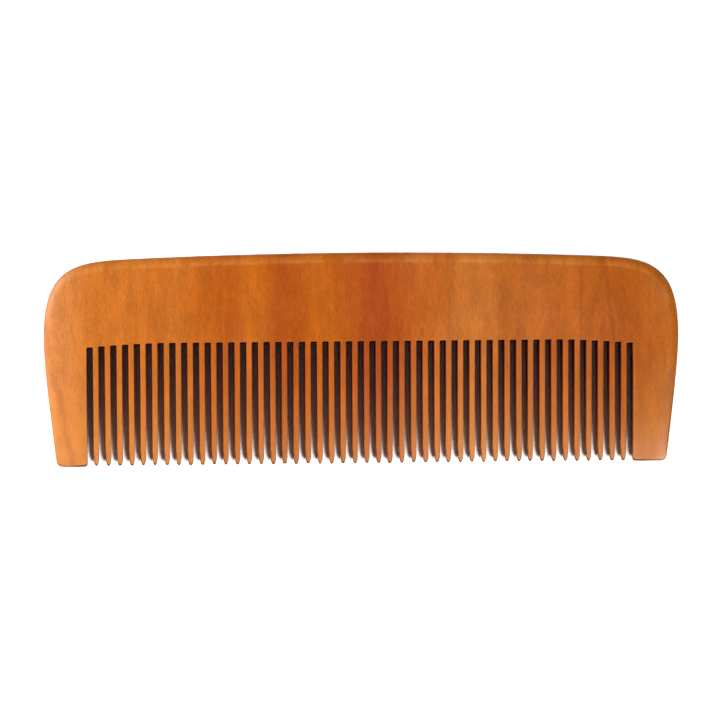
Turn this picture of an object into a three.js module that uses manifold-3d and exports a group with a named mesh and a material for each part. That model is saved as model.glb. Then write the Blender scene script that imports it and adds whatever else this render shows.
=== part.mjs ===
// Wooden beard comb, sawn from one wedge-shaped board and lying on its lower face.
//
// Millimetres. X runs along the comb, +Y points from the tooth tips to the spine, +Z is up.
// The origin is the centre of the comb's box, on the face that it lies on.
// The board is drawn as working parts that meet face to face: the back, a broad guard tooth at
// each end, and the fine teeth between the saw cuts.

import * as THREE from 'three';
import { mergeVertices } from 'three/addons/utils/BufferGeometryUtils.js';
import Module from 'manifold-3d';

// ---------- driving dimensions ----------

// the board
const backHeight = 19.5; // from the middle saw cuts up to the top of the crown
const crownSag = 0.98; // how much lower the crown is where the shoulders begin
const shoulderLength = 20.1; // along X, from the end of the crown to the widest place
const shoulderFullness = 0.64; // of the shoulder's upper half: 0 is a straight slope, 1 is square
const cornerFullness = 0.94; // the same for its lower half
const widestAbove = 1.0; // the widest place, above the ends of the middle saw cuts
const sideTaper = 2.7; // how far each side has drawn in at the foot of its guard
const sideBow = 0.25; // share of the side that bends in from the widest place
const sideRun = 0.14; // share of the side that is nearly straight above the foot

// thickness
const spineThickness = 8.4; // of the wedge, at the top of the crown
const tipThickness = 2.6; // of the wedge, at the tooth tips
const edgeRound = 2.0; // width of the rounding on the outer edges, seen from above
const edgeRoundDepth = 1.6; // its depth at the spine; it thins with the wedge
const edgeRoundSteps = 3;

// the saw cuts and the teeth
const toothCount = 46;
const toothPitch = 2.587;
const slotWidth = 1.35;
const toothLength = 26.6; // from the end of a middle saw cut to a tooth tip
const tipTaper = 3.4; // the last stretch of a tooth, which narrows to its tip
const tipShoulder = 0.53; // share of that stretch over which the sides bend in gently
const tipBluntness = 0.68; // of the very end: 0 is a sharp point, 1 is square
const tipSteps = 5;
const shallowSlots = 6; // saw cuts at each end that stop short
const shallowStep = 0.063; // how short the first of them stops
const shallowPower = 1.45; // how fast that grows towards the end

// the guards
const leftGuardWidth = 9.43; // from the first saw cut to the widest place of the board
const rightGuardWidth = 10.22;
const guardExtra = 0.27; // how far a guard reaches past the tooth tips
const footOuterRadius = 1.3;
const footInnerRadius = 0.8;
const footSteps = 4;

const woodRoughness = 0.45;
const backColour = 0xb9682f;
const guardColour = 0xcf8646;
const toothColours = [0xc87c3c, 0xb05f2b, 0xbf7336]; // left, middle and right of the row

// ---------- places worked out from them ----------

const slotCount = toothCount + 1;
const toothWidth = toothPitch - slotWidth;
const rowLength = toothCount * toothPitch + slotWidth;
const halfLength = (leftGuardWidth + rowLength + rightGuardWidth) / 2;
const rowMiddleX = (leftGuardWidth - rightGuardWidth) / 2;
const depth = backHeight + toothLength + guardExtra;
const crownY = depth / 2;
const rootY = crownY - backHeight;
const tipY = rootY - toothLength;
const footY = tipY - guardExtra;
const widestY = rootY + widestAbove;
const crownHalf = halfLength - shoulderLength;
const sideHeight = widestY - footY;
const sideSlope = sideTaper / sideHeight;
const spare = 5; // how far a cutting prism reaches past the board

/** The middle of saw cut i, counted from 0 at the left. */
const slotX = (i) => rowMiddleX + (i - toothCount / 2) * toothPitch;

/** The end of saw cut i: level in the middle of the row, and lower over the outer ones. */
function slotEndY(i) {
  const fromEnd = Math.min(i, slotCount - 1 - i);
  const steps = Math.max(0, shallowSlots - fromEnd);
  return rootY - shallowStep * steps ** shallowPower;
}

/** Where tooth i leaves the back: at the lower of the two saw cuts beside it. */
const toothTopY = (i) => Math.min(slotEndY(i), slotEndY(i + 1));

/** The thickness of the wedge at y. */
function thicknessAt(y) {
  return tipThickness + (spineThickness - tipThickness) * (y - tipY) / (crownY - tipY);
}

// ---------- solids ----------

const wasm = await Module();
wasm.setup();

/** A closed three.js geometry as a solid that can be cut. */
function toSolid(geometry) {
  const bare = geometry.index ? geometry.toNonIndexed() : geometry.clone();
  bare.deleteAttribute('normal');
  bare.deleteAttribute('uv');
  const merged = mergeVertices(bare, 1e-4);
  return new wasm.Manifold(new wasm.Mesh({
    numProp: 3,
    vertProperties: new Float32Array(merged.attributes.position.array),
    triVerts: new Uint32Array(merged.index.array),
  }));
}

/** A solid as a three.js geometry with flat faces. */
function toGeometry(solid) {
  const { numProp, vertProperties, triVerts } = solid.getMesh();
  const indexed = new THREE.BufferGeometry();
  const position = new Float32Array((vertProperties.length / numProp) * 3);
  for (let v = 0; v < position.length / 3; v++) {
    position.set(vertProperties.subarray(v * numProp, v * numProp + 3), v * 3);
  }
  indexed.setAttribute('position', new THREE.BufferAttribute(position, 3));
  indexed.setIndex(new THREE.BufferAttribute(new Uint32Array(triVerts), 1));
  const flat = indexed.toNonIndexed();
  flat.computeVertexNormals();
  return flat;
}

/** An outline carried straight up through the whole thickness of the board. */
function prism(outline, curveSegments) {
  const height = spineThickness + 2 * spare;
  const options = { depth: height, bevelEnabled: false, curveSegments };
  const geometry = new THREE.ExtrudeGeometry(outline, options);
  geometry.translate(0, 0, -spare);
  return toSolid(geometry);
}

/**
 * The planed board before any saw cut. Its outline is a low crown, two shoulders and two sides
 * that draw in towards the feet. It is drawn longer than the comb at the foot end, so that its
 * outer edges run on past the feet with the same rounding.
 */
function makeBoard() {
  const crownEndY = crownY - crownSag;
  const crownSlope = 2 * crownSag / crownHalf;
  const crownArm = crownHalf * 2 / 3;
  const shoulderArm = shoulderLength * shoulderFullness;
  const cornerArm = (crownEndY - widestY) * cornerFullness;
  const bowArm = sideHeight * sideBow;
  const runArm = sideHeight * sideRun;
  const footX = halfLength - sideTaper;
  const pastFootX = footX - sideSlope * spare;
  const pastFootY = footY - spare;

  const outline = new THREE.Shape();
  outline.moveTo(-pastFootX, pastFootY);
  outline.lineTo(pastFootX, pastFootY);
  outline.lineTo(footX, footY);
  outline.bezierCurveTo(
    footX + sideSlope * runArm, footY + runArm,
    halfLength, widestY - bowArm,
    halfLength, widestY,
  );
  outline.bezierCurveTo(
    halfLength, widestY + cornerArm,
    crownHalf + shoulderArm, crownEndY - crownSlope * shoulderArm,
    crownHalf, crownEndY,
  );
  outline.bezierCurveTo(
    crownHalf - crownArm, crownEndY + crownSlope * crownArm,
    -crownHalf + crownArm, crownEndY + crownSlope * crownArm,
    -crownHalf, crownEndY,
  );
  outline.bezierCurveTo(
    -crownHalf - shoulderArm, crownEndY - crownSlope * shoulderArm,
    -halfLength, widestY + cornerArm,
    -halfLength, widestY,
  );
  outline.bezierCurveTo(
    -halfLength, widestY - bowArm,
    -footX - sideSlope * runArm, footY + runArm,
    -footX, footY,
  );
  outline.lineTo(-pastFootX, pastFootY);

  const board = new THREE.ExtrudeGeometry(outline, {
    depth: spineThickness - 2 * edgeRoundDepth,
    curveSegments: 14,
    bevelEnabled: true,
    bevelSize: edgeRound,
    bevelOffset: -edgeRound,
    bevelThickness: edgeRoundDepth,
    bevelSegments: edgeRoundSteps,
  });
  board.translate(0, 0, edgeRoundDepth);

  // the lower face stays level and everything above it thins towards the tips
  const points = board.attributes.position;
  for (let v = 0; v < points.count; v++) {
    points.setZ(v, points.getZ(v) * thicknessAt(points.getY(v)) / spineThickness);
  }
  return toSolid(board);
}

/** The back in plan: a block whose lower edge steps along the ends of the saw cuts. */
function backOutline() {
  const reach = halfLength + spare;
  const outline = new THREE.Shape();
  outline.moveTo(-reach, crownY + spare);
  outline.lineTo(-reach, slotEndY(0));
  for (let i = 1; i < slotCount; i++) {
    const before = slotEndY(i - 1);
    const after = slotEndY(i);
    if (before === after) continue;
    // the step stands beside the deeper cut, so the tooth between them meets a level face
    const stepX = after > before ? slotX(i) - slotWidth / 2 : slotX(i - 1) + slotWidth / 2;
    outline.lineTo(stepX, before);
    outline.lineTo(stepX, after);
  }
  outline.lineTo(reach, slotEndY(slotCount - 1));
  outline.lineTo(reach, crownY + spare);
  return outline;
}

/** A guard in plan: from the end saw cut outwards, with a foot that is round at both corners. */
function guardOutline(side) {
  const innerX = slotX(side < 0 ? 0 : slotCount - 1) + side * slotWidth / 2;
  const outerX = side * (halfLength + spare);
  const footOuterX = side * (halfLength - sideTaper);
  const topY = slotEndY(0);

  const outline = new THREE.Shape();
  outline.moveTo(innerX, topY);
  outline.lineTo(innerX, footY + footInnerRadius);
  outline.quadraticCurveTo(innerX, footY, innerX + side * footInnerRadius, footY);
  outline.lineTo(footOuterX - side * footOuterRadius, footY);
  outline.quadraticCurveTo(
    footOuterX, footY,
    footOuterX + side * sideSlope * footOuterRadius, footY + footOuterRadius,
  );
  outline.lineTo(outerX, footY + footOuterRadius + spare);
  outline.lineTo(outerX, topY);
  return outline;
}

/** Tooth i in plan: parallel sides, then a bullet-shaped tip. */
function toothOutline(i) {
  const middle = (slotX(i) + slotX(i + 1)) / 2;
  const half = toothWidth / 2;
  const topY = toothTopY(i);
  const shoulderY = tipY + tipTaper;
  const bendY = shoulderY - tipTaper * tipShoulder;
  const blunt = half * tipBluntness;

  const outline = new THREE.Shape();
  outline.moveTo(middle - half, topY);
  outline.lineTo(middle - half, shoulderY);
  outline.bezierCurveTo(middle - half, bendY, middle - blunt, tipY, middle, tipY);
  outline.bezierCurveTo(middle + blunt, tipY, middle + half, bendY, middle + half, shoulderY);
  outline.lineTo(middle + half, topY);
  return outline;
}

// ---------- the comb ----------

const comb = new THREE.Group();
comb.name = 'beard_comb';
const board = makeBoard();

/** Cuts one working part out of the board and adds it to the comb. */
function addPart(name, outline, curveSegments, color) {
  const material = new THREE.MeshStandardMaterial({ color, roughness: woodRoughness, metalness: 0 });
  const mesh = new THREE.Mesh(toGeometry(board.intersect(prism(outline, curveSegments))), material);
  mesh.name = name;
  comb.add(mesh);
}

addPart('back', backOutline(), 1, backColour);
addPart('left_guard', guardOutline(-1), footSteps, guardColour);
addPart('right_guard', guardOutline(1), footSteps, guardColour);
for (let i = 0; i < toothCount; i++) {
  const third = Math.floor(i * toothColours.length / toothCount);
  const name = `tooth_${String(i + 1).padStart(2, '0')}`;
  addPart(name, toothOutline(i), tipSteps, toothColours[third]);
}

export default comb;
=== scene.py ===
"""Wooden beard comb: one board of oiled hardwood, planed to a wedge and sawn into fine teeth.

The comb lies on its lower face. X runs along it, +Y points from the tooth tips to the spine and
+Z is up, in metres. Every visible solid is one plan outline with an edge profile carried along
its free edges; between them lie the two planed faces of the board.
"""

import logging
import math
from dataclasses import dataclass, field
from enum import Enum

import bpy
import numpy as np
from mathutils import Matrix, Vector


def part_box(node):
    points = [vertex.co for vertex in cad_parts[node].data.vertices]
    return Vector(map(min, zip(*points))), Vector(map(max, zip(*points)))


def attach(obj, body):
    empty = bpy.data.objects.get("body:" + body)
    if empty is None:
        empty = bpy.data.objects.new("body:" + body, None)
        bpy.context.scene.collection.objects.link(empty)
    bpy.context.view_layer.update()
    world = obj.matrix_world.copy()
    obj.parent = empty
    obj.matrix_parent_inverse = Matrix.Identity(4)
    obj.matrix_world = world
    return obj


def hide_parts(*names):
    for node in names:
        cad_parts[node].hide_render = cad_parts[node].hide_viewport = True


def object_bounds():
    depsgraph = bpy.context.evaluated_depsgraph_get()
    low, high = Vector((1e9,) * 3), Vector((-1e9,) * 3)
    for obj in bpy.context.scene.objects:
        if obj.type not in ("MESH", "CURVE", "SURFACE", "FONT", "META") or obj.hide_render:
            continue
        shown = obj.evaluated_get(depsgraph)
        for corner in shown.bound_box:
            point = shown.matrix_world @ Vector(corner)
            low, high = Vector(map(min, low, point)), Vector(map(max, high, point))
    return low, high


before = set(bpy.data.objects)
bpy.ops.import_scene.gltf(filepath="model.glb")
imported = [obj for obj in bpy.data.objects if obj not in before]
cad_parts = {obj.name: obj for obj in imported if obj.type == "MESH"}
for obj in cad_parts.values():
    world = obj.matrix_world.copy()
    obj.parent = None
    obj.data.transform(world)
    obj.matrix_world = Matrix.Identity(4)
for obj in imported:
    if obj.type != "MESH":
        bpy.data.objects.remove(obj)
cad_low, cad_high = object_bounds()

LOG = logging.getLogger("comb")
MM = 0.001
TRAITS = ("end_grain_and_shade", "edge", "sawn")
SHARP_ANGLE = math.radians(50)

# what each lamp adds to the radiance of a white, matt, level surface at the comb
KEY_LIGHT = 1.2
LEFT_LIGHT = 1.6
FACE_SHARE = 0.91  # of both, on the comb's sloping upper face
FACE_LIGHT = FACE_SHARE * (KEY_LIGHT + LEFT_LIGHT)
DARKEST = 0.002  # the least linear colour of the wood

Socket = bpy.types.NodeSocket  # an input or output of a material's node


# ---------------------------------------------------------------- plan and wedge


class Side(Enum):
    """Which end of the comb a guard is at."""

    LEFT = "left"
    RIGHT = "right"


@dataclass(frozen=True)
class Wedge:
    """The board's two faces: the lower one is level and the upper one rises to the spine.

    Over the last stretch before the tooth tips both are sanded towards each other: by
    upper_ease and lower_ease times s squared, where s grows from 0 to 1 over ease_length.
    """

    at_y: float
    thickness: float
    slope: float
    tip_y: float
    ease_length: float = 9.5 * MM
    upper_ease: float = 0.75 * MM
    lower_ease: float = 1.15 * MM

    def nearness(self, y: np.ndarray) -> np.ndarray:
        """How near y is to the tips: 0 up to the sanded stretch and 1 at the tips, squared."""
        return np.maximum((self.tip_y + self.ease_length - y) / self.ease_length, 0.0) ** 2

    def upper(self, y: np.ndarray) -> np.ndarray:
        """Height of the upper face: thickness + slope * (y - at_y), less its sanding."""
        return self.thickness + self.slope * (y - self.at_y) - self.upper_ease * self.nearness(y)

    def lower(self, y: np.ndarray) -> np.ndarray:
        """Height of the lower face, which leaves the floor only where it is sanded."""
        return self.lower_ease * self.nearness(y)

    def thickness_at(self, y: np.ndarray) -> np.ndarray:
        """How far the two faces are apart."""
        return self.upper(y) - self.lower(y)


@dataclass(frozen=True)
class EdgeStyle:
    """How far an edge rounding reaches in plan and how deep it cuts into the thickness.

    depth is in metres, but a share of the thickness on the board's outer edge. roll is the share
    of the depth that a slow roll-off takes over the whole reach; the rest is a quarter ellipse
    over the outermost part of the reach, which is the share called nose. roll_shade is how much
    of the roll-off counts as wall for the finish, which paints shade on it with the dark tint of
    the fibre ends.
    """

    reach: float
    depth: float
    roll: float = 0.0
    roll_power: float = 1.5
    roll_shade: float = 0.25
    nose: float = 1.0

    def profile(self, steps: int, nose: np.ndarray) -> tuple[np.ndarray, np.ndarray, np.ndarray]:
        """The edge's section, from the plane face out to the wall.

        Going outwards, u grows from 0 at the face to 1 at the wall. The drop is roll times u to
        the roll_power, plus (1 - roll) * (1 - the square root of 1 - v squared), where v is u
        counted over the nose alone.

        Args:
            steps: how many points each of the two parts has.
            nose: the nose's share of the reach at each point along the edge.

        Returns:
            The share of the reach from the wall, the share of the depth, and the steepness from
            0 to 1, raised on the roll-off where it paints shade, each with one row per point along the
            edge.
        """
        nose = nose[:, None]
        angle = np.linspace(0.0, math.pi / 2, steps + 1)
        slow_steps = 0 if nose.max() >= 1.0 else steps
        slow = (1.0 - nose) * np.arange(slow_steps) / max(slow_steps, 1)
        u = np.concatenate([slow, 1.0 - nose + nose * np.sin(angle)], axis=1)
        v = np.maximum((u - 1.0 + nose) / nose, 0.0)
        fall = self.roll * u**self.roll_power + (1.0 - self.roll) * (1.0 - np.sqrt(1.0 - v**2))
        return 1.0 - u, fall, np.maximum(v, self.roll_shade * self.roll * u)


@dataclass(frozen=True)
class CombPlan:
    """The comb's places in plan, read from the frame's solids."""

    half_length: float
    crown_y: float
    foot_y: float
    tooth_left: np.ndarray
    tooth_right: np.ndarray
    tooth_top: np.ndarray
    tooth_tip: np.ndarray
    guard_inner: tuple[float, float]
    guard_top: float
    wedge: Wedge
    outer_edge: EdgeStyle = EdgeStyle(reach=2.0 * MM, depth=0.2, roll=0.5, nose=0.22)
    stub: float = 0.32 * MM

    @staticmethod
    def from_frame() -> "CombPlan":
        """Reads the places of the back, the guards and the teeth.

        Returns:
            The plan, with the teeth in order from left to right.
        """
        names = sorted(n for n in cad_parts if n.startswith("tooth_"))
        boxes = [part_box(n) for n in names]
        low = np.array([tuple(b[0]) for b in boxes])
        high = np.array([tuple(b[1]) for b in boxes])
        back_low, back_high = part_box("back")
        left_low, left_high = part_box("left_guard")
        right_low, right_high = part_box("right_guard")
        middle = len(names) // 2
        root_y, root_z = high[middle, 1], high[middle, 2]
        face_end_y = back_high.y - CombPlan.outer_edge.reach
        slope = (back_high.z - root_z) / (face_end_y - root_y)
        return CombPlan(
            half_length=back_high.x,
            crown_y=back_high.y,
            foot_y=left_low.y,
            tooth_left=low[:, 0],
            tooth_right=high[:, 0],
            tooth_top=high[:, 1],
            tooth_tip=low[:, 1],
            guard_inner=(left_high.x, right_low.x),
            guard_top=left_high.y,
            wedge=Wedge(root_y, root_z, slope, tip_y=float(low[:, 1].min())),
        )

    @property
    def tooth_count(self) -> int:
        """How many teeth there are."""
        return len(self.tooth_left)

    @property
    def root_y(self) -> float:
        """Where the middle saw cuts end."""
        return float(self.wedge.at_y)

    @property
    def guard_cut(self) -> float:
        """Where a guard's own solid begins, a little below the end of the first saw cut."""
        return self.guard_top - self.stub

    @property
    def tooth_cut(self) -> np.ndarray:
        """Where each tooth's own solid begins."""
        return self.tooth_top - self.stub

    @property
    def slot_left(self) -> np.ndarray:
        """The left wall of every saw cut."""
        return np.concatenate([[self.guard_inner[0]], self.tooth_right])

    @property
    def slot_right(self) -> np.ndarray:
        """The right wall of every saw cut."""
        return np.concatenate([self.tooth_left, [self.guard_inner[1]]])

    @property
    def slot_end(self) -> np.ndarray:
        """The end of every saw cut: the higher of the two solids beside it."""
        tops = np.concatenate([[self.guard_top], self.tooth_top, [self.guard_top]])
        return np.maximum(tops[:-1], tops[1:])


# ---------------------------------------------------------------- curves


def bezier(corners: list[tuple[float, float]], count: int) -> np.ndarray:
    """Points on a Bezier curve of degree 2 or 3.

    Each is a blend of the corners, weighted by the terms of ((1 - t) + t) to the curve's degree.

    Args:
        corners: three or four points in plan.
        count: how many points to return, the first and last corner among them.

    Returns:
        An array of shape (count, 2).
    """
    t = np.linspace(0.0, 1.0, count)[:, None]
    s = 1.0 - t
    p = [np.asarray(c, float) for c in corners]
    if len(p) == 3:
        return s * s * p[0] + 2 * s * t * p[1] + t * t * p[2]
    return s**3 * p[0] + 3 * s * s * t * p[1] + 3 * s * t * t * p[2] + t**3 * p[3]


def straight(start: tuple[float, float], end: tuple[float, float], count: int) -> np.ndarray:
    """Evenly spaced points from start to end."""
    t = np.linspace(0.0, 1.0, count)[:, None]
    return (1 - t) * np.asarray(start, float) + t * np.asarray(end, float)


def smooth(t: np.ndarray) -> np.ndarray:
    """An even step from 0 to 1: 3 t^2 - 2 t^3, with t held between 0 and 1."""
    t = np.clip(t, 0.0, 1.0)
    return t * t * (3.0 - 2.0 * t)


@dataclass
class Outline:
    """The board's outer edge in plan, from the right foot over the crown to the left foot.

    The right half is three Bezier curves: the side, which leans in to the foot, the shoulder,
    and half of a low crown. The left half is its mirror image.
    """

    plan: CombPlan
    crown_sag: float = 0.98 * MM
    shoulder_length: float = 20.1 * MM
    shoulder_fullness: float = 0.64
    corner_fullness: float = 0.94
    widest_above: float = 1.0 * MM
    side_taper: float = 2.7 * MM
    side_bow: float = 0.25
    side_run: float = 0.14
    samples: int = 600
    points: np.ndarray = field(init=False)
    inward: np.ndarray = field(init=False)
    along: np.ndarray = field(init=False)

    def __post_init__(self) -> None:
        """Works out the curve's points, its inward direction and the distance along it."""
        right = self._right_half()
        left = right[::-1][1:] * [-1.0, 1.0]
        self.points = np.concatenate([right, left])
        step = np.linalg.norm(np.diff(self.points, axis=0), axis=1)
        self.along = np.concatenate([[0.0], np.cumsum(step)])
        tangent = np.gradient(self.points, self.along, axis=0)
        tangent /= np.linalg.norm(tangent, axis=1)[:, None]
        self.inward = np.stack([-tangent[:, 1], tangent[:, 0]], axis=1)

    def _right_half(self) -> np.ndarray:
        """Draws the right half.

        Returns:
            Points from the foot to the top of the crown, with samples points on each curve.
        """
        p = self.plan
        end_x = p.half_length - self.shoulder_length
        end_y = p.crown_y - self.crown_sag
        widest_y = p.root_y + self.widest_above
        side_height = widest_y - p.foot_y
        lean = self.side_taper / side_height
        foot_x = p.half_length - self.side_taper
        crown_slope = 2 * self.crown_sag / end_x
        crown_arm = end_x * 2 / 3
        shoulder_arm = self.shoulder_length * self.shoulder_fullness
        corner_arm = (end_y - widest_y) * self.corner_fullness
        run = side_height * self.side_run
        side = bezier(
            [
                (foot_x, p.foot_y),
                (foot_x + lean * run, p.foot_y + run),
                (p.half_length, widest_y - side_height * self.side_bow),
                (p.half_length, widest_y),
            ],
            self.samples,
        )
        shoulder = bezier(
            [
                (p.half_length, widest_y),
                (p.half_length, widest_y + corner_arm),
                (end_x + shoulder_arm, end_y - crown_slope * shoulder_arm),
                (end_x, end_y),
            ],
            self.samples,
        )
        crown = bezier(
            [
                (end_x, end_y),
                (end_x - crown_arm, end_y + crown_slope * crown_arm),
                (crown_arm - end_x, end_y + crown_slope * crown_arm),
                (-end_x, end_y),
            ],
            2 * self.samples - 1,
        )[: self.samples]
        return np.concatenate([side[:-1], shoulder[:-1], crown])

    def length_at(self, y: float) -> float:
        """The distance along the right side at which the outline passes y."""
        rising = int(np.argmax(self.points[:, 1]))
        return float(np.interp(y, self.points[:rising, 1], self.along[:rising]))

    def stretch(self, start: float, end: float, count: int) -> tuple[np.ndarray, np.ndarray]:
        """Points and inward directions at even distances along the outline.

        Args:
            start: the distance along the outline of the first point.
            end: that of the last point.
            count: how many points.

        Returns:
            Two arrays of shape (count, 2).
        """
        s = np.linspace(start, end, count)
        point = np.stack([np.interp(s, self.along, self.points[:, k]) for k in (0, 1)], axis=1)
        inward = np.stack([np.interp(s, self.along, self.inward[:, k]) for k in (0, 1)], axis=1)
        return point, inward / np.linalg.norm(inward, axis=1)[:, None]


# ---------------------------------------------------------------- edge runs and solids


@dataclass
class EdgeRun:
    """A stretch of free edge, followed with the wood on the left-hand side.

    outer is the line of the wall and inner the line where the rounding meets the plane faces,
    point for point. depth is how far down and up the rounding reaches at each point. nose, where
    given, replaces the style's own at each point. sawn is the share of sawn wall, which is rougher
    and darkened with painted shade, burnt the strength of the darkening on fibre ends that face
    out, partly their own dark colour and partly painted shade, support how far the last point on
    a face lies inside the rounding, and steps how many points each part of the section has.
    """

    outer: np.ndarray
    inner: np.ndarray
    depth: np.ndarray
    style: EdgeStyle
    nose: np.ndarray | None = None
    sawn: np.ndarray | float = 0.0
    end_darkness: float = 1.0
    support: float = 0.02 * MM
    steps: int = 7

    def section(self) -> tuple[np.ndarray, np.ndarray, np.ndarray]:
        """The edge's section at every point along it."""
        nose = self.style.nose if self.nose is None else self.nose
        return self.style.profile(self.steps, np.broadcast_to(nose, len(self.outer)))

    def rings(self, wedge: Wedge) -> np.ndarray:
        """Carries the edge's section along the run, on the lower and on the upper edge.

        One more point lies just inside on each face.

        Args:
            wedge: the board's two faces.

        Returns:
            An array of shape (points along, points around, 3).
        """
        share, fall, _ = self.section()
        way = self.inner - self.outer
        width = np.linalg.norm(way, axis=1)
        lip = 1.0 + self.support / np.maximum(width, 1e-9)
        share = np.concatenate([lip[:, None], share], axis=1)
        drop = self.depth[:, None] * np.concatenate([np.zeros((len(way), 1)), fall], axis=1)
        plan = self.outer[:, None, :] + share[:, :, None] * way[:, None, :]
        bottom_z = wedge.lower(plan[:, :, 1]) + drop
        top_z = wedge.upper(plan[:, :, 1]) - drop
        lower = np.concatenate([plan, bottom_z[:, :, None]], axis=2)
        upper = np.concatenate([plan, top_z[:, :, None]], axis=2)[:, ::-1]
        return np.concatenate([lower, upper], axis=1)

    def traits(self) -> dict[str, np.ndarray]:
        """What the wood is like at each point of the section, for the finish.

        Returns:
            end_grain_and_shade, the share of fibre ends that face out, darkened with their own colour
            and with painted shade on the crown's rounding; edge, strongest where a rounding across the
            fibres meets the plane face, where a pale highlight is painted; and sawn, which is 1 on the
            walls that the saw left, where shade is painted.
        """
        share, _, steep = self.section()
        level = np.zeros((len(share), 1))
        wall = np.concatenate([level, steep, steep[:, ::-1], level], axis=1)
        # where a pale highlight is painted: strongest at the inner line of the rounding
        edge_highlight = np.concatenate([level, smooth(share)], axis=1)
        edge_highlight = np.concatenate([edge_highlight, edge_highlight[:, ::-1]], axis=1)
        way = self.inner - self.outer
        facing = np.abs(way[:, 1]) / np.maximum(np.linalg.norm(way, axis=1), 1e-9)
        sawn = np.broadcast_to(self.sawn, len(way))
        return {
            "end_grain_and_shade": self.end_darkness * facing[:, None] * wall,
            "edge": edge_highlight * facing[:, None],
            "sawn": sawn[:, None] * wall**2,
        }


def face_polygons(line: list[int], rungs: int) -> list[list[int]]:
    """Divides the polygon inside a closed line into a ladder and what is left beyond it.

    Args:
        line: the vertices round the polygon, which starts and ends at the same end of the piece.
        rungs: how many vertices on each side are joined across, pair by pair.

    Returns:
        The faces, turned the same way as the line.
    """
    if rungs < 2:
        return [line]
    there = np.array(line[:rungs])
    back = np.array(line[::-1][:rungs])
    ladder = np.stack([there[:-1], there[1:], back[1:], back[:-1]], axis=1)
    return ladder.tolist() + [line[rungs - 1 : len(line) - rungs + 1]]


def solid_from_runs(
    name: str, runs: list[EdgeRun], wedge: Wedge, rungs: int = 0
) -> bpy.types.Object:
    """Closes a ring of edge runs into one solid.

    The runs follow one another round the solid. Each is a grid of four-sided faces; the two
    plane faces are one polygon each through the inmost points; and a plane cut closes the gap
    from the end of each run to the start of the next.

    Args:
        name: the piece's name.
        runs: the edge runs, in order, with the wood on the left.
        wedge: the board's two faces.
        rungs: how many points on each side of a single run are joined across its faces.

    Returns:
        The new object, at the origin.
    """
    grids = [run.rings(wedge) for run in runs]
    starts = np.concatenate([[0], np.cumsum([g.shape[0] * g.shape[1] for g in grids])])
    points = np.concatenate([g.reshape(-1, 3) for g in grids])
    faces, top, bottom = [], [], []
    for grid, start in zip(grids, starts):
        index = start + np.arange(grid.shape[0] * grid.shape[1]).reshape(grid.shape[:2])
        quads = np.stack([index[:-1, :-1], index[1:, :-1], index[1:, 1:], index[:-1, 1:]], axis=-1)
        faces += quads.reshape(-1, 4).tolist()
        top += index[:, -1].tolist()
        bottom += index[:, 0].tolist()
    for k, grid in enumerate(grids):
        following = (k + 1) % len(grids)
        last = starts[k + 1] - grid.shape[1] + np.arange(grid.shape[1])
        first = starts[following] + np.arange(grids[following].shape[1])
        faces.append([int(last[0])] + first.tolist() + last[:0:-1].tolist())
    faces += face_polygons(top, rungs)
    faces += face_polygons(bottom[::-1], rungs)

    mesh = bpy.data.meshes.new(name)
    mesh.from_pydata(points, [], faces)
    traits = [run.traits() for run in runs]
    for trait in TRAITS:
        values = np.concatenate([of_run[trait].reshape(-1) for of_run in traits])
        layer = mesh.attributes.new(trait, "FLOAT", "POINT")
        layer.data.foreach_set("value", values.astype(np.float32))
    mesh.polygons.foreach_set("use_smooth", np.ones(len(mesh.polygons), bool))
    mesh.set_sharp_from_angle(angle=SHARP_ANGLE)
    mesh.update()
    piece = bpy.data.objects.new(name, mesh)
    bpy.context.scene.collection.objects.link(piece)
    return piece


def place(piece: bpy.types.Object, node: str, material: bpy.types.Material) -> None:
    """Puts a finished piece on the comb's body in place of its plain solid.

    Args:
        piece: the visible piece.
        node: the solid that it stands for.
        material: its finish.
    """
    piece.data.materials.append(material)
    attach(piece, "root")
    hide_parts(node)
    size = [round(d / MM, 1) for d in piece.dimensions]
    LOG.info("%s: %d faces, %s mm", piece.name, len(piece.data.polygons), size)


# ---------------------------------------------------------------- the comb's parts


@dataclass
class SawnEdge:
    """The eased edges that the saw cuts and the teeth share."""

    ease: EdgeStyle = EdgeStyle(reach=0.2 * MM, depth=0.24 * MM)
    corner: float = 0.16 * MM
    corner_points: int = 5


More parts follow.
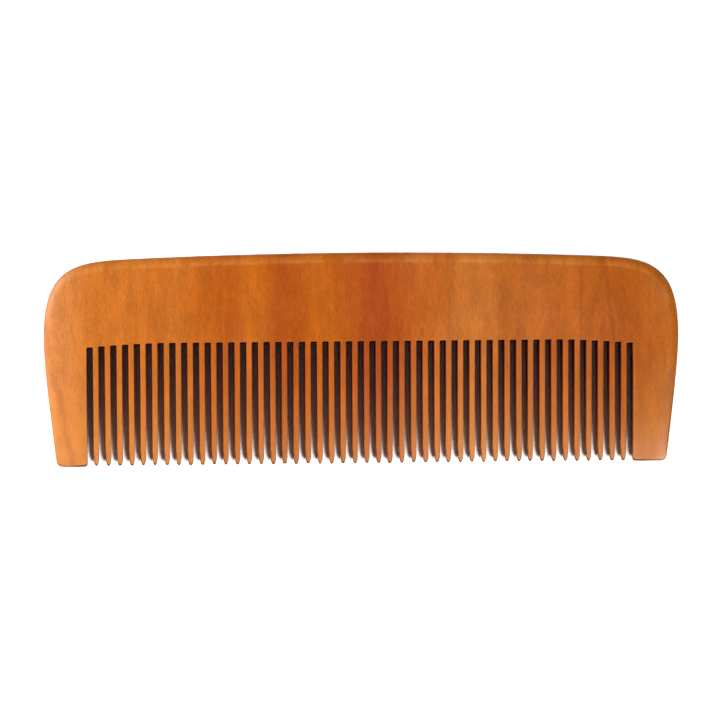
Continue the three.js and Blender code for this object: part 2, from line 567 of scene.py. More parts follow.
@dataclass
class Back:
    """The spine: the crown and shoulders outside, and the ends of the saw cuts inside."""

    plan: CombPlan
    outline: Outline
    sawn: SawnEdge
    crown_points: int = 320
    # painted shade: together with the roll-off, this darkens the crown's rounding, which faces away
    # from both lamps, as well as its fibre ends
    end_darkness: float = 0.9
    support: float = 0.5 * MM

    def outer_run(self) -> EdgeRun:
        """Follows the rounded outer edge.

        Returns:
            The run from the right guard over the crown to the left guard.
        """
        p = self.plan
        start = self.outline.length_at(p.guard_cut)
        end = self.outline.along[-1] - start
        outer, inward = self.outline.stretch(start, end, self.crown_points)
        inner = outer + p.outer_edge.reach * inward
        depth = p.outer_edge.depth * p.wedge.thickness_at(outer[:, 1])
        return EdgeRun(
            outer, inner, depth, p.outer_edge, end_darkness=self.end_darkness, support=self.support
        )

    def slot_run(self, i: int) -> EdgeRun:
        """Follows the end of a saw cut, which is square with two small round corners.

        They are quarter circles about the corner's centre, of radius corner at the wall and
        corner + reach at the inner line.

        Args:
            i: the saw cut, counted from 0 at the left.

        Returns:
            The run from the stub on its left, across, and down to the next stub.
        """
        p, s = self.plan, self.sawn
        left, right, end = p.slot_left[i], p.slot_right[i], p.slot_end[i]
        cuts = np.concatenate([[p.guard_cut], p.tooth_cut, [p.guard_cut]])
        turn = np.linspace(0.0, math.pi / 2, s.corner_points)[:, None]
        first = np.concatenate([-np.cos(turn), np.sin(turn)], axis=1)
        second = np.concatenate([np.sin(turn), np.cos(turn)], axis=1)
        centre_y = end - s.corner
        lines = []
        for offset in (0.0, s.ease.reach):
            radius = s.corner + offset
            lines.append(
                np.concatenate(
                    [
                        [(left - offset, cuts[i])],
                        np.array((left + s.corner, centre_y)) + radius * first,
                        np.array((right - s.corner, centre_y)) + radius * second,
                        [(right + offset, cuts[i + 1])],
                    ]
                )
            )
        depth = np.full(len(lines[0]), s.ease.depth)
        return EdgeRun(lines[0], lines[1], depth, s.ease, sawn=1.0)

    def build(self) -> bpy.types.Object:
        """Makes the back.

        Returns:
            One solid with a stub for every tooth and guard.
        """
        runs = [self.outer_run()]
        runs += [self.slot_run(i) for i in range(self.plan.tooth_count + 1)]
        return solid_from_runs("comb_back", runs, self.plan.wedge)


@dataclass
class Guard:
    """The broad solid tooth at one end of the comb.

    outer_corner and inner_corner round its foot in plan, and inset_corner the line inside the
    outer one. counts are the points down the wall, round the inner corner, along the foot, round
    the outer corner and up the side.
    """

    plan: CombPlan
    outline: Outline
    sawn: SawnEdge
    side: Side
    foot_reach: float = 2.6 * MM
    outer_corner: float = 1.3 * MM
    inner_corner: float = 0.8 * MM
    bottom: EdgeStyle = EdgeStyle(reach=0.6 * MM, depth=0.18 * MM, nose=0.85)
    inset_corner: float = 1.0 * MM
    wobble: float = 0.16 * MM
    wobble_waves: tuple = ((2.3, 1.0, 0.0), (5.1, 0.7, 1.0))
    wobble_fade: float = 4.0
    counts: tuple = (60, 9, 16, 11, 60)
    end_darkness: float = 3.0
    support: float = 0.5 * MM

    def side_reach(self, y: np.ndarray) -> np.ndarray:
        """How far in the side's rounding reaches.

        It narrows from foot_reach at the foot to the board's own reach at the cut, by a soft
        step. The sum of wobble_waves, each a sine wave with its turns, share and phase, wavers
        it by wobble, and fades out towards the cut.

        Args:
            y: the places along the side.

        Returns:
            The reach at each of them.
        """
        p = self.plan
        height = p.guard_cut - p.foot_y
        rise = smooth((y - p.foot_y) / height)
        reach = self.foot_reach + (p.outer_edge.reach - self.foot_reach) * rise
        angle = (y - p.guard_cut) / height * 2 * math.pi
        uneven = sum(
            share * np.sin(turns * angle + phase) for turns, share, phase in self.wobble_waves
        )
        return reach + self.wobble * uneven * smooth(self.wobble_fade * (1 - rise))

    def line(
        self, wall_x: float, bottom_y: float, turn_x: float, corner: float, side: np.ndarray
    ) -> list[np.ndarray]:
        """Draws one line round a right guard.

        Args:
            wall_x: where the saw cut's wall is.
            bottom_y: where the foot is.
            turn_x: where the outer corner would be if it were sharp.
            corner: how far before that the foot begins to turn.
            side: the points up the side.

        Returns:
            The stretches down the wall, round the inner corner, along the foot, round the outer
            corner and up the side.
        """
        n_wall, n_inner, n_foot, n_outer, _ = self.counts
        wall_end = (wall_x, bottom_y + self.inner_corner)
        foot_start = (wall_x + self.inner_corner, bottom_y)
        foot_end = (turn_x - corner, bottom_y)
        return [
            straight((wall_x, self.plan.guard_cut), wall_end, n_wall),
            bezier([wall_end, (wall_x, bottom_y), foot_start], n_inner),
            straight(foot_start, foot_end, n_foot),
            bezier([foot_end, (turn_x, bottom_y), tuple(side[0])], n_outer),
            side,
        ]

    def run(self) -> EdgeRun:
        """Follows the guard's free edge.

        It is worked out for a right guard. The left guard is its mirror image about X = 0 with
        its own inner wall, followed the other way.

        Returns:
            The run down the saw cut, round the foot and up the side, or back.
        """
        p, ease = self.plan, self.sawn.ease
        wall_x = abs(p.guard_inner[0] if self.side is Side.LEFT else p.guard_inner[1])
        n_wall, n_inner, n_foot, n_outer, n_side = self.counts

        start = self.outline.length_at(p.foot_y + self.outer_corner)
        end = self.outline.length_at(p.guard_cut)
        side, inward = self.outline.stretch(start, end, n_side)
        side_in = side + self.side_reach(side[:, 1])[:, None] * inward
        side_depth = p.outer_edge.depth * p.wedge.thickness_at(side[:, 1])
        foot_x = self.outline.points[0, 0]
        foot_in_y = p.foot_y + self.bottom.reach

        stretches = (
            self.line(wall_x, p.foot_y, foot_x, self.outer_corner, side),
            self.line(wall_x + ease.reach, foot_in_y, side_in[0, 0], self.inset_corner, side_in),
            [
                np.full(n_wall, ease.depth),
                np.linspace(ease.depth, self.bottom.depth, n_inner),
                np.full(n_foot, self.bottom.depth),
                np.linspace(self.bottom.depth, side_depth[0], n_outer),
                side_depth,
            ],
            [
                np.full(n_wall + n_inner + n_foot - 2, self.bottom.nose),
                np.linspace(self.bottom.nose, p.outer_edge.nose, n_outer),
                np.full(n_side, p.outer_edge.nose),
            ],
        )
        outer, inner, depth, nose = (
            np.concatenate([part[:-1] for part in parts[:-1]] + [parts[-1]])
            for parts in stretches
        )
        if self.side is Side.LEFT:
            mirror = np.array([-1.0, 1.0])
            outer, inner = outer[::-1] * mirror, inner[::-1] * mirror
            depth, nose = depth[::-1], nose[::-1]
        return EdgeRun(
            outer, inner, depth, p.outer_edge, nose, end_darkness=self.end_darkness, support=self.support
        )

    def build(self) -> bpy.types.Object:
        """Makes the guard as one solid, from just below the first saw cut's end to the foot."""
        name = f"comb_{self.side.value}_guard"
        return solid_from_runs(name, [self.run()], self.plan.wedge, rungs=self.counts[0])


@dataclass
class ToothRow:
    """The fine teeth, each a tapering blade with a bullet-shaped tip.

    Sawing and sanding by hand leaves no two alike, so every tooth has its own slight lean,
    width and tip. tip_bend and inset_bend say where the curves of a tip begin to bend in: above
    its end by those shares of tip_taper and of tip_reach.
    """

    plan: CombPlan
    sawn: SawnEdge
    tip_taper: float = 3.2 * MM
    tip_reach: float = 0.5 * MM
    tip_depth: float = 0.2 * MM
    lean: float = 0.05 * MM
    thinning: float = 0.05 * MM
    tip_play: tuple[float, float] = (-0.22 * MM, -0.06 * MM)
    bluntness: tuple[float, float] = (0.72, 0.98)
    tip_bend: float = 0.3
    inset_bend: float = 0.5
    # how much of the sawn walls' roughness and painted shade is left at the tip
    tip_sawn_and_shade: float = 0.15
    end_darkness: float = 3.2
    side_points: int = 30
    tip_points: int = 17
    edge_steps: int = 5
    seed: int = 46

    def run(self, k: int, lean: float, thin: float, short: float, blunt: float) -> EdgeRun:
        """Follows a tooth's free edge: down its left side, round the tip and up its right side.

        The tip is two cubic curves that leave the sides without a corner and meet at a blunt
        point. The inner line is the same shape drawn smaller, with its tip further back. Each
        side is thinned along a soft step, the lean grows with the square of the distance from the
        root, and the sawn walls' roughness and painted shade fade to tip_sawn_and_shade at the tip.

        Args:
            k: the tooth, counted from 0 at the left.
            lean: how far its tip stands to the right.
            thin: how much each side is sanded away.
            short: how much its tip is sanded away; below 0, how much further it reaches.
            blunt: the shape of its tip, from 0 for a sharp point to 1 for a square end.

        Returns:
            The edge run, with the wood on the left.
        """
        p, ease = self.plan, self.sawn.ease
        middle = (p.tooth_left[k] + p.tooth_right[k]) / 2
        half = (p.tooth_right[k] - p.tooth_left[k]) / 2
        cut = p.tooth_cut[k]
        tip = p.tooth_tip[k] + short
        shoulder = tip + self.tip_taper
        lines = []
        for inset, back in ((0.0, 0.0), (ease.reach, self.tip_reach)):
            h = half - inset
            side = straight((h, cut), (h, shoulder), self.side_points)
            nose = bezier(
                [
                    (h, shoulder),
                    (h, tip + self.tip_taper * self.tip_bend + back * self.inset_bend),
                    (h * blunt, tip + back),
                    (0.0, tip + back),
                ],
                self.tip_points,
            )
            right = np.concatenate([side[:-1], nose])
            thinned = smooth((cut - right[:, 1]) / (cut - shoulder))
            right[:, 0] -= thin * thinned * right[:, 0] / half
            lines.append(np.concatenate([right * [-1.0, 1.0], right[::-1][1:]]))
        outer, inner = lines
        length = cut - tip
        for line in lines:
            line[:, 0] += middle + lean * np.clip((cut - line[:, 1]) / length, 0, 1) ** 2
        nose_share = smooth((shoulder - outer[:, 1]) / self.tip_taper) ** 2
        depth = ease.depth + (self.tip_depth - ease.depth) * nose_share
        sawn = self.tip_sawn_and_shade + (1.0 - self.tip_sawn_and_shade) * smooth((outer[:, 1] - tip) / length)
        return EdgeRun(
            outer, inner, depth, ease, sawn=sawn, end_darkness=self.end_darkness, steps=self.edge_steps
        )

    def build(self) -> list[bpy.types.Object]:
        """Makes the teeth.

        Returns:
            Every tooth as its own solid, from left to right.
        """
        rng = np.random.default_rng(self.seed)
        lean = rng.normal(0.0, self.lean, self.plan.tooth_count)
        thin = rng.uniform(0.0, self.thinning, self.plan.tooth_count)
        short = rng.uniform(*self.tip_play, self.plan.tooth_count)
        blunt = rng.uniform(*self.bluntness, self.plan.tooth_count)
        rungs = self.side_points + self.tip_points - 3
        runs = [self.run(k, *own) for k, own in enumerate(zip(lean, thin, short, blunt))]
        return [
            solid_from_runs(f"comb_tooth_{k + 1:02d}", [run], self.plan.wedge, rungs)
            for k, run in enumerate(runs)
        ]


# ---------------------------------------------------------------- the finish


def display(red: int, green: int, blue: int, shine: float) -> tuple[float, ...]:
    """The base colour that shows as wanted on a level face under the studio's lights.

    Args:
        red: how it shows on a screen, 0 to 255.
        green: the same.
        blue: the same.
        shine: the white light that the polish adds, as a share of full white.

    Returns:
        The linear colour, as red, green, blue and 1.
    """
    levels = np.array([red, green, blue]) / 255.0
    linear = np.where(levels <= 0.04045, levels / 12.92, ((levels + 0.055) / 1.055) ** 2.4)
    base = np.maximum(linear - shine, DARKEST) / FACE_LIGHT
    return (*(float(v) for v in base), 1.0)


class Bench:
    """A short way to lay out the nodes of one material."""

    def __init__(self, name: str) -> None:
        """Starts an empty node tree."""
        self.material = bpy.data.materials.new(name)
        self.material.use_nodes = True
        self.tree = self.material.node_tree
        self.tree.nodes.clear()

    def node(self, kind: str, inputs: dict | None = None, **settings: object) -> bpy.types.Node:
        """Adds a node.

        Args:
            kind: the node's type.
            inputs: socket name or number to a value, or to the socket that feeds it.
            settings: the node's own properties.

        Returns:
            The new node.
        """
        made = self.tree.nodes.new(kind)
        for key, value in settings.items():
            setattr(made, key, value)
        for key, value in (inputs or {}).items():
            if isinstance(value, Socket):
                self.tree.links.new(value, made.inputs[key])
            else:
                made.inputs[key].default_value = value
        return made

    def math(self, operation: str, *values: object) -> Socket:
        """The result of one sum on numbers or sockets."""
        return self.node("ShaderNodeMath", dict(enumerate(values)), operation=operation).outputs[0]

    def grey(self, level: Socket) -> Socket:
        """The grey of that level."""
        return self.node("ShaderNodeCombineColor", {0: level, 1: level, 2: level}).outputs[0]

    def stretched(self, coordinates: Socket, scale: tuple) -> Socket:
        """Coordinates counted in cells: scale is cells per millimetre along X, Y and Z."""
        inputs = {"Vector": coordinates, "Scale": tuple(s / MM for s in scale)}
        return self.node("ShaderNodeMapping", inputs).outputs[0]

    def noise(self, coordinates: Socket, scale: tuple, detail: float, rough: float = 0.5) -> Socket:
        """Soft random values.

        Args:
            coordinates: the place, in metres.
            scale: cells per millimetre along X, Y and Z.
            detail: how many finer layers are added.
            rough: the strength of each layer, as a share of the one before.

        Returns:
            The values, between 0 and 1.
        """
        inputs = {
            "Vector": self.stretched(coordinates, scale),
            "Scale": 1.0,
            "Detail": detail,
            "Roughness": rough,
        }
        return self.node("ShaderNodeTexNoise", inputs).outputs["Fac"]

    def between(
        self, value: Socket, low: float, high: float, out_low: float, out_high: float
    ) -> Socket:
        """Carries one span of values over to another along a soft step, and holds the ends.

        Args:
            value: what is carried over.
            low: the value that becomes out_low.
            high: the value that becomes out_high.
            out_low: the start of the new span.
            out_high: its end.

        Returns:
            The new value.
        """
        inputs = {
            "Value": value,
            "From Min": low,
            "From Max": high,
            "To Min": out_low,
            "To Max": out_high,
        }
        made = self.node("ShaderNodeMapRange", inputs, interpolation_type="SMOOTHSTEP")
        return made.outputs["Result"]

    def mixed(self, mode: str, share: object, first: object, second: object) -> Socket:
        """Mixes two colours.

        Args:
            mode: the way of mixing, such as MIX or MULTIPLY.
            share: how much of it, as a number or a socket.
            first: the colour that is there, as a value or a socket.
            second: the colour that is laid over it.

        Returns:
            The mixed colour.
        """
        made = self.node("ShaderNodeMix", {0: share}, data_type="RGBA", blend_type=mode)
        for key, value in ((6, first), (7, second)):
            if isinstance(value, Socket):
                self.tree.links.new(value, made.inputs[key])
            else:
                made.inputs[key].default_value = value
        return made.outputs[2]

    def ramp(self, value: Socket, stops: list) -> Socket:
        """Lays out a run of colours.

        Args:
            value: where along the run, from 0 to 1.
            stops: each colour's place from 0 to 1, and the colour.

        Returns:
            The colour there.
        """
        made = self.node("ShaderNodeValToRGB", {"Fac": value})
        made.color_ramp.interpolation = "EASE"
        elements = made.color_ramp.elements
        while len(elements) < len(stops):
            elements.new(0.5)
        for element, (at, colour) in zip(elements, stops):
            element.position = at
            element.color = colour
        return made.outputs["Color"]

    def finish(self, inputs: dict) -> bpy.types.Material:
        """Ends the material in one shader, whose sockets take the inputs."""
        shader = self.node("ShaderNodeBsdfPrincipled", inputs)
        self.node("ShaderNodeOutputMaterial", {"Surface": shader.outputs[0]})
        return self.material


@dataclass(frozen=True)
class Figure:
    """One layer of the wood's figure: soft noise that lightens and darkens the wood.

    cells counts its cells per millimetre along X, Y and Z. Noise from half a spread below the
    middle to half a spread above it multiplies the colour by 1 - depth to 1 + depth.
    """

    cells: tuple[float, float, float]
    spread: float
    depth: float
    detail: float = 3.0
    rough: float = 0.6

    def noise(self, bench: Bench, here: Socket) -> Socket:
        """The layer's noise, between 0 and 1."""
        return bench.noise(here, self.cells, self.detail, self.rough)

    def light(self, bench: Bench, noise: Socket) -> Socket:
        """What the colour is multiplied by."""
        low, high = 0.5 - self.spread / 2, 0.5 + self.spread / 2
        return bench.between(noise, low, high, 1 - self.depth, 1 + self.depth)


@dataclass(frozen=True)
class MineralLine:
    """A thin dark line in the wood: at_x is where it crosses Y = 0, and it leans by slant."""

    at_x: float
    slant: float
    half_width: float
    share: float
    bend: float = 1.5 * MM

    def strength(self, bench: Bench, at: object, wander: Socket) -> Socket:
        """How dark the line is: share on its middle, fading to 0 at half_width from it.

        Args:
            bench: the material's bench.
            at: the outputs X and Y of the place on the comb.
            wander: soft noise that bends the line.

        Returns:
            The share of the line's colour.
        """
        leaning = bench.math("MULTIPLY_ADD", at["Y"], self.slant, self.at_x)
        bent = bench.math("MULTIPLY_ADD", wander, self.bend, leaning)
        away = bench.math("ABSOLUTE", bench.math("SUBTRACT", at["X"], bent))
        return bench.between(away, 0.0, self.half_width, self.share, 0.0)


@dataclass(frozen=True)
class WoodFinish:
    """Oiled, hand-polished hardwood, sawn so that its fibres run along the teeth.

    The colour is a row of soft bands side by side along the comb, lighter towards the left end,
    each given by its place in millimetres and how it shows on a screen. Over it lie streaks,
    fibres, mineral lines, pores and pin flecks, dark fibre ends, painted shade towards the spine,
    on the crown and in the saw cuts, a painted pale sheen towards the tips and a painted highlight
    along the edges. Each tint is multiplied in and each tone mixed in, up to the share of the same
    name. Cells are counted per millimetre along X, Y and Z.
    """

    half_length: float
    bands: tuple = (
        (-70.0, (230, 147, 85)),
        (-58.0, (209, 121, 51)),
        (-42.0, (205, 115, 47)),
        (-29.0, (189, 95, 35)),
        (-24.4, (201, 109, 41)),
        (-17.0, (178, 87, 31)),
        (-9.0, (197, 104, 39)),
        (3.4, (177, 81, 30)),
        (15.5, (194, 107, 47)),
        (25.0, (201, 117, 53)),
        (34.0, (187, 103, 45)),
        (46.0, (190, 104, 46)),
        (57.5, (180, 94, 38)),
        (70.0, (189, 107, 44)),
    )
    mineral: tuple = (
        MineralLine(47.2 * MM, 0.03, 0.3 * MM, 0.5),
        MineralLine(55.2 * MM, -0.12, 0.9 * MM, 0.45),
        # this one is a darker band that leans in from the left end's rounding towards the face on its
        # way down to the foot
        MineralLine(-69.2 * MM, -0.2, 1.6 * MM, 0.35),
    )
    band_wander: float = 3.2 * MM
    wander_cells: tuple = (0.05, 0.04, 0.05)
    streaks: Figure = Figure((0.5, 0.045, 0.3), spread=0.4, depth=0.08)
    mottle: Figure = Figure((0.3, 0.16, 0.2), spread=0.4, depth=0.07)
    fibres: Figure = Figure((3.0, 0.6, 1.2), spread=0.5, depth=0.12)
    grit: Figure = Figure((4.0, 3.0, 4.0), spread=0.5, depth=0.08, detail=1.0, rough=0.5)
    # painted shade: the colour is darkened towards the spine, to this share at the end of shade_span
    spine_shade: float = 0.95
    shade_span: tuple[float, float] = (-20.0 * MM, 20.0 * MM)
    warm_cells: tuple = (0.2, 0.035, 0.1)
    warm_tint: tuple = (1.0, 0.88, 0.78, 1.0)
    warm_share: float = 0.35
    # painted sheen: a pale tone mixed in towards the tips, fully below the start of tip_sheen_span
    tip_sheen_tone: tuple = (248, 172, 98)
    tip_sheen_share: float = 0.24
    tip_sheen_span: tuple[float, float] = (-24.0 * MM, 2.0 * MM)
    mineral_tint: tuple = (0.62, 0.5, 0.42, 1.0)
    pore_cells: tuple = (7.0, 0.9, 4.0)
    pore_tint: tuple = (0.6, 0.46, 0.36, 1.0)
    pore_share: float = 0.35
    fleck_cells: tuple = (0.07, 0.05, 0.07)
    fleck_size: tuple[float, float] = (0.014, 0.04)
    fleck_tint: tuple = (0.5, 0.33, 0.22, 1.0)
    fleck_share: float = 0.6
    # dark fibre ends, and painted shade on the crown's rounding
    end_grain_and_shade_tint: tuple = (0.26, 0.18, 0.14, 1.0)
    end_grain_and_shade_share: float = 0.75
    # painted shade: darkens and reddens the sawn walls, which stand in the deep, shaded saw cuts
    slot_shade_tint: tuple = (0.85, 0.38, 0.16, 1.0)
    slot_shade_share: float = 0.8
    # painted highlight: a pale tone mixed in where the roundings across the fibres meet the faces
    edge_highlight_tone: tuple = (240, 175, 100)
    edge_highlight_share: tuple[float, float] = (0.04, 0.2)
    shine: float = 0.016
    roughness: float = 0.36
    sawn_roughness: float = 0.22
    specular: float = 0.13
    smudge_cells: tuple = (0.09, 0.06, 0.1)
    swell_cells: tuple = (0.05, 0.035, 0.05)
    relief: float = 0.03 * MM

    def banded(self, bench: Bench, at: object, wander: Socket) -> Socket:
        """Lays the colour bands side by side along X.

        Args:
            bench: the material's bench.
            at: the outputs X and Y of the place on the comb.
            wander: soft noise that bends the bands.

        Returns:
            The colour.
        """
        shift = bench.math("MULTIPLY", bench.math("SUBTRACT", wander, 0.5), self.band_wander)
        moved = bench.math("ADD", at["X"], shift)
        share = bench.math("MULTIPLY_ADD", moved, 0.5 / self.half_length, 0.5)
        stops = [
            ((x * MM / self.half_length + 1) / 2, display(*tone, self.shine)) for x, tone in self.bands
        ]
        return bench.ramp(share, stops)

    def figured(
        self, bench: Bench, here: Socket, at: object, colour: Socket, noises: dict[str, Socket]
    ) -> Socket:
        """Lays the fine figure over the bands, with painted shade towards the spine and a painted pale
        sheen towards the tips.

        Args:
            bench: the material's bench.
            here: the place on the comb, in metres.
            at: its outputs X and Y.
            colour: the banded wood.
            noises: the noise of each layer of the figure.

        Returns:
            The colour.
        """
        # painted shade, darker towards the spine
        light = bench.between(at["Y"], *self.shade_span, 1.0, self.spine_shade)
        for name, noise in noises.items():
            light = bench.math("MULTIPLY", light, getattr(self, name).light(bench, noise))
        colour = bench.mixed("MULTIPLY", 1.0, colour, bench.grey(light))

        redness = bench.noise(here, self.warm_cells, 2.0)
        warm = bench.between(redness, 0.45, 0.75, 0.0, self.warm_share)
        colour = bench.mixed("MULTIPLY", warm, colour, self.warm_tint)
        # painted pale sheen towards the tips
        tip_sheen = bench.between(at["Y"], *self.tip_sheen_span, self.tip_sheen_share, 0.0)
        return bench.mixed("MIX", tip_sheen, colour, display(*self.tip_sheen_tone, self.shine))

    def marked(
        self, bench: Bench, here: Socket, at: object, wander: Socket, colour: Socket
    ) -> tuple[Socket, Socket]:
        """Adds the mineral lines, the pores and the pin flecks.

        Args:
            bench: the material's bench.
            here: the place on the comb, in metres.
            at: its outputs X and Y.
            wander: soft noise that bends the lines.
            colour: the figured wood.

        Returns:
            The colour and the share of pores.
        """
        for line in self.mineral:
            strength = line.strength(bench, at, wander)
            colour = bench.mixed("MULTIPLY", strength, colour, self.mineral_tint)

        pores = bench.between(bench.noise(here, self.pore_cells, 2.0), 0.64, 0.74, 0.0, 1.0)
        dark_pores = bench.math("MULTIPLY", pores, self.pore_share)
        colour = bench.mixed("MULTIPLY", dark_pores, colour, self.pore_tint)

        spots = {"Vector": bench.stretched(here, self.fleck_cells), "Scale": 1.0}
        distance = bench.node("ShaderNodeTexVoronoi", spots).outputs["Distance"]
        fleck = bench.between(distance, *self.fleck_size, self.fleck_share, 0.0)
        return bench.mixed("MULTIPLY", fleck, colour, self.fleck_tint), pores

    def worked(
        self, bench: Bench, traits: dict[str, Socket], mottle: Socket, colour: Socket
    ) -> Socket:
        """Adds dark fibre ends, painted shade on the crown and the sawn walls, and a painted
        highlight along the edges.

        Args:
            bench: the material's bench.
            traits: the piece's own values.
            mottle: soft noise that makes the painted highlight uneven.
            colour: the marked wood.

        Returns:
            The colour.
        """
        # dark fibre ends, with painted shade on the crown's rounding
        dark = bench.math("POWER", traits["end_grain_and_shade"], 1.2)
        ends = bench.math("MINIMUM", bench.math("MULTIPLY", dark, self.end_grain_and_shade_share), 1.0)
        colour = bench.mixed("MULTIPLY", ends, colour, self.end_grain_and_shade_tint)
        # painted shade in the saw cuts, weaker towards the tips
        cut = bench.math("MULTIPLY", traits["sawn"], self.slot_shade_share)
        colour = bench.mixed("MULTIPLY", cut, colour, self.slot_shade_tint)
        # painted highlight where the roundings across the fibres meet the faces
        patchy = bench.between(mottle, 0.35, 0.65, *self.edge_highlight_share)
        edge_highlight = bench.math("MULTIPLY", traits["edge"], patchy)
        return bench.mixed("MIX", edge_highlight, colour, display(*self.edge_highlight_tone, 0.0))

    def build(self) -> bpy.types.Material:
        """Lays out the whole material.

        Returns:
            The material, which reads each piece's own traits.
        """
        bench = Bench("comb_wood")
        here = bench.node("ShaderNodeTexCoord").outputs["Object"]
        at = bench.node("ShaderNodeSeparateXYZ", {"Vector": here}).outputs
        traits = {
            name: bench.node("ShaderNodeAttribute", attribute_name=name).outputs["Fac"]
            for name in TRAITS
        }
        wander = bench.noise(here, self.wander_cells, 2.0)
        noises = {
            name: getattr(self, name).noise(bench, here)
            for name in ("streaks", "mottle", "fibres", "grit")
        }
        colour = self.banded(bench, at, wander)
        colour = self.figured(bench, here, at, colour, noises)
        colour, pores = self.marked(bench, here, at, wander, colour)
        colour = self.worked(bench, traits, noises["mottle"], colour)

        smudge = bench.noise(here, self.smudge_cells, 3.0)
        rough = bench.between(smudge, 0.3, 0.7, self.roughness - 0.05, self.roughness + 0.06)
        rough_cut = bench.math("MULTIPLY", traits["sawn"], self.sawn_roughness)

        height = bench.math("SUBTRACT", noises["fibres"], bench.math("MULTIPLY", pores, 0.8))
        grain = {"Strength": 0.35, "Distance": self.relief, "Height": height}
        grained = bench.node("ShaderNodeBump", grain).outputs[0]
        swell = bench.noise(here, self.swell_cells, 1.0)
        wave = {"Strength": 0.5, "Distance": self.relief, "Height": swell, "Normal": grained}
        return bench.finish(
            {
                "Base Color": colour,
                "Roughness": bench.math("ADD", rough, rough_cut),
                "Normal": bench.node("ShaderNodeBump", wave).outputs[0],
                "IOR": 1.47,
                "Specular IOR Level": self.specular,
            }
        )


@dataclass(frozen=True)
class FloorFinish:
    """Plain pale paper."""

    tone: float = 0.9
    roughness: float = 0.9

    def build(self) -> bpy.types.Material:
        """Lays out a pale, matt surface with a very faint unevenness.

        Returns:
            The material.
        """
        bench = Bench("pale_floor")
        here = bench.node("ShaderNodeTexCoord").outputs["Object"]
        cloud = bench.noise(here, (0.01, 0.01, 0.01), 2.0)
        tone = bench.between(cloud, 0.0, 1.0, self.tone - 0.01, self.tone + 0.01)
        return bench.finish(
            {
                "Base Color": bench.grey(tone),
                "Roughness": self.roughness,
                "Specular IOR Level": 0.1,
            }
        )


# ---------------------------------------------------------------- the studio


@dataclass(frozen=True)
class Softbox:
    """A rectangular light that faces the comb.

    azimuth and elevation are its direction in degrees, counted from +X towards +Y and up from
    the floor. brightness is what it adds to the radiance of a white, matt floor at the comb.
    """

    name: str
    azimuth: float
    elevation: float
    distance: float
    width: float
    height: float
    brightness: float

    def build(self) -> bpy.types.Object:
        """Adds the light: its power is brightness * (pi * distance)^2 / sin(elevation).

        Returns:
            The light.
        """
        azimuth, elevation = math.radians(self.azimuth), math.radians(self.elevation)
        direction = Vector(
            (
                math.cos(elevation) * math.cos(azimuth),
                math.cos(elevation) * math.sin(azimuth),
                math.sin(elevation),
            )
        )
        lamp = bpy.data.lights.new(self.name, "AREA")
        lamp.shape = "RECTANGLE"
        lamp.size = self.width
        lamp.size_y = self.height
        lamp.energy = self.brightness * (math.pi * self.distance) ** 2 / direction.z
        light = bpy.data.objects.new(self.name, lamp)
        light.location = direction * self.distance
        light.rotation_euler = direction.to_track_quat("Z", "Y").to_euler()
        bpy.context.scene.collection.objects.link(light)
        return light


@dataclass(frozen=True)
class CameraView:
    """Almost straight down, from a little to the left of the comb and a little below it."""

    lean_x: float = -3.72
    lean_y: float = -1.98
    roll: float = -0.67
    distance: float = 1.0
    lens: float = 226.2
    aim: tuple = (-0.259 * MM, -0.22 * MM, 0.0)

    def build(self) -> bpy.types.Object:
        """Adds the camera: its axis leans by lean_x and lean_y degrees from straight up.

        Returns:
            The camera.
        """
        lean_x, lean_y = math.radians(self.lean_x), math.radians(self.lean_y)
        toward = Vector((math.sin(lean_x), math.sin(lean_y), 0))
        toward.z = math.sqrt(1.0 - toward.length_squared)
        right = Vector((0, 1, 0)).cross(toward).normalized()
        up = toward.cross(right)
        turn = Matrix.Rotation(math.radians(self.roll), 3, toward)
        axes = Matrix((turn @ right, turn @ up, toward)).transposed()
        data = bpy.data.cameras.new("camera")
        data.lens = self.lens
        data.sensor_width = 36.0
        data.clip_start = 0.05
        data.clip_end = 20.0
        camera = bpy.data.objects.new("camera", data)
        station = Vector(self.aim) + toward * self.distance
        camera.matrix_world = Matrix.Translation(station) @ axes.to_4x4()
        bpy.context.scene.collection.objects.link(camera)
        bpy.context.scene.camera = camera
        return camera


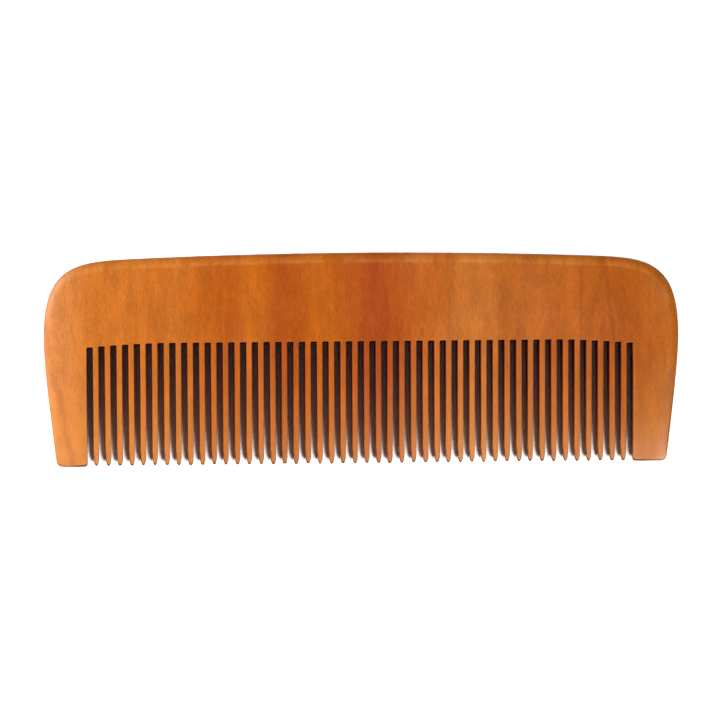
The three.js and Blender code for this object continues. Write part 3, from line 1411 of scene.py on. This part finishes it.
@dataclass
class Studio:
    """A plain pale floor, soft lights and the camera."""

    view: CameraView = CameraView()
    floor_finish: FloorFinish = FloorFinish()
    level_radius: float = 1.6
    edge_radius: float = 3.4
    edge_height: float = 1.7
    middle_radius: float = 0.3
    spokes: int = 96
    rings: int = 25
    gap: float = 0.02 * MM
    sky: float = 0.027
    sky_colour: tuple = (1.0, 0.62, 0.48, 1.0)
    lights: tuple = (
        Softbox("key", -56.0, 46.0, 1.4, 0.4, 0.4, KEY_LIGHT),
        Softbox("left", 164.0, 36.0, 1.4, 0.8, 0.8, LEFT_LIGHT),
    )

    def floor(self) -> bpy.types.Object:
        """The floor, just under the comb: level near it and rising softly to a round backdrop.

        At distance r from the middle its height is edge_height times s squared, where s grows
        evenly from 0 at level_radius to 1 at edge_radius.

        Returns:
            The floor.
        """
        rising = np.linspace(self.level_radius, self.edge_radius, self.rings)
        radius = np.concatenate([[self.middle_radius], rising])
        angle = np.linspace(0.0, 2 * math.pi, self.spokes, endpoint=False)
        r, a = np.meshgrid(radius, angle, indexing="ij")
        rise = np.maximum(r - self.level_radius, 0.0) / (self.edge_radius - self.level_radius)
        z = cad_low.z - self.gap + self.edge_height * rise**2
        points = np.stack([r * np.cos(a), r * np.sin(a), z], axis=-1).reshape(-1, 3)
        index = np.arange(r.size).reshape(r.shape)
        after = np.roll(index, -1, axis=1)
        quads = np.stack([index[:-1], index[1:], after[1:], after[:-1]], axis=-1).reshape(-1, 4)
        mesh = bpy.data.meshes.new("floor")
        mesh.from_pydata(points, [], quads.tolist() + [index[0].tolist()])
        mesh.polygons.foreach_set("use_smooth", np.ones(len(mesh.polygons), bool))
        floor = bpy.data.objects.new("floor", mesh)
        floor.data.materials.append(self.floor_finish.build())
        bpy.context.scene.collection.objects.link(floor)
        return floor

    def build(self) -> None:
        """Sets up the floor, the lights, the sky, the view transform and the camera."""
        scene = bpy.context.scene
        self.floor()
        for light in self.lights:
            light.build()
        world = bpy.data.worlds.new("sky")
        world.use_nodes = True
        background = world.node_tree.nodes["Background"]
        background.inputs["Color"].default_value = self.sky_colour
        background.inputs["Strength"].default_value = self.sky
        scene.world = world
        scene.view_settings.view_transform = "Standard"
        scene.view_settings.look = "None"
        self.view.build()


# ---------------------------------------------------------------- assembly


def main() -> None:
    """Builds the comb piece by piece, then the studio round it."""
    logging.basicConfig(level=logging.INFO, format="%(name)s: %(message)s")
    plan = CombPlan.from_frame()
    outline = Outline(plan)
    sawn = SawnEdge()
    wood = WoodFinish(plan.half_length).build()

    place(Back(plan, outline, sawn).build(), "back", wood)
    for side in Side:
        guard = Guard(plan, outline, sawn, side).build()
        place(guard, f"{side.value}_guard", wood)
    for k, tooth in enumerate(ToothRow(plan, sawn).build()):
        place(tooth, f"tooth_{k + 1:02d}", wood)
    Studio().build()


if __name__ == "__main__":
    main()
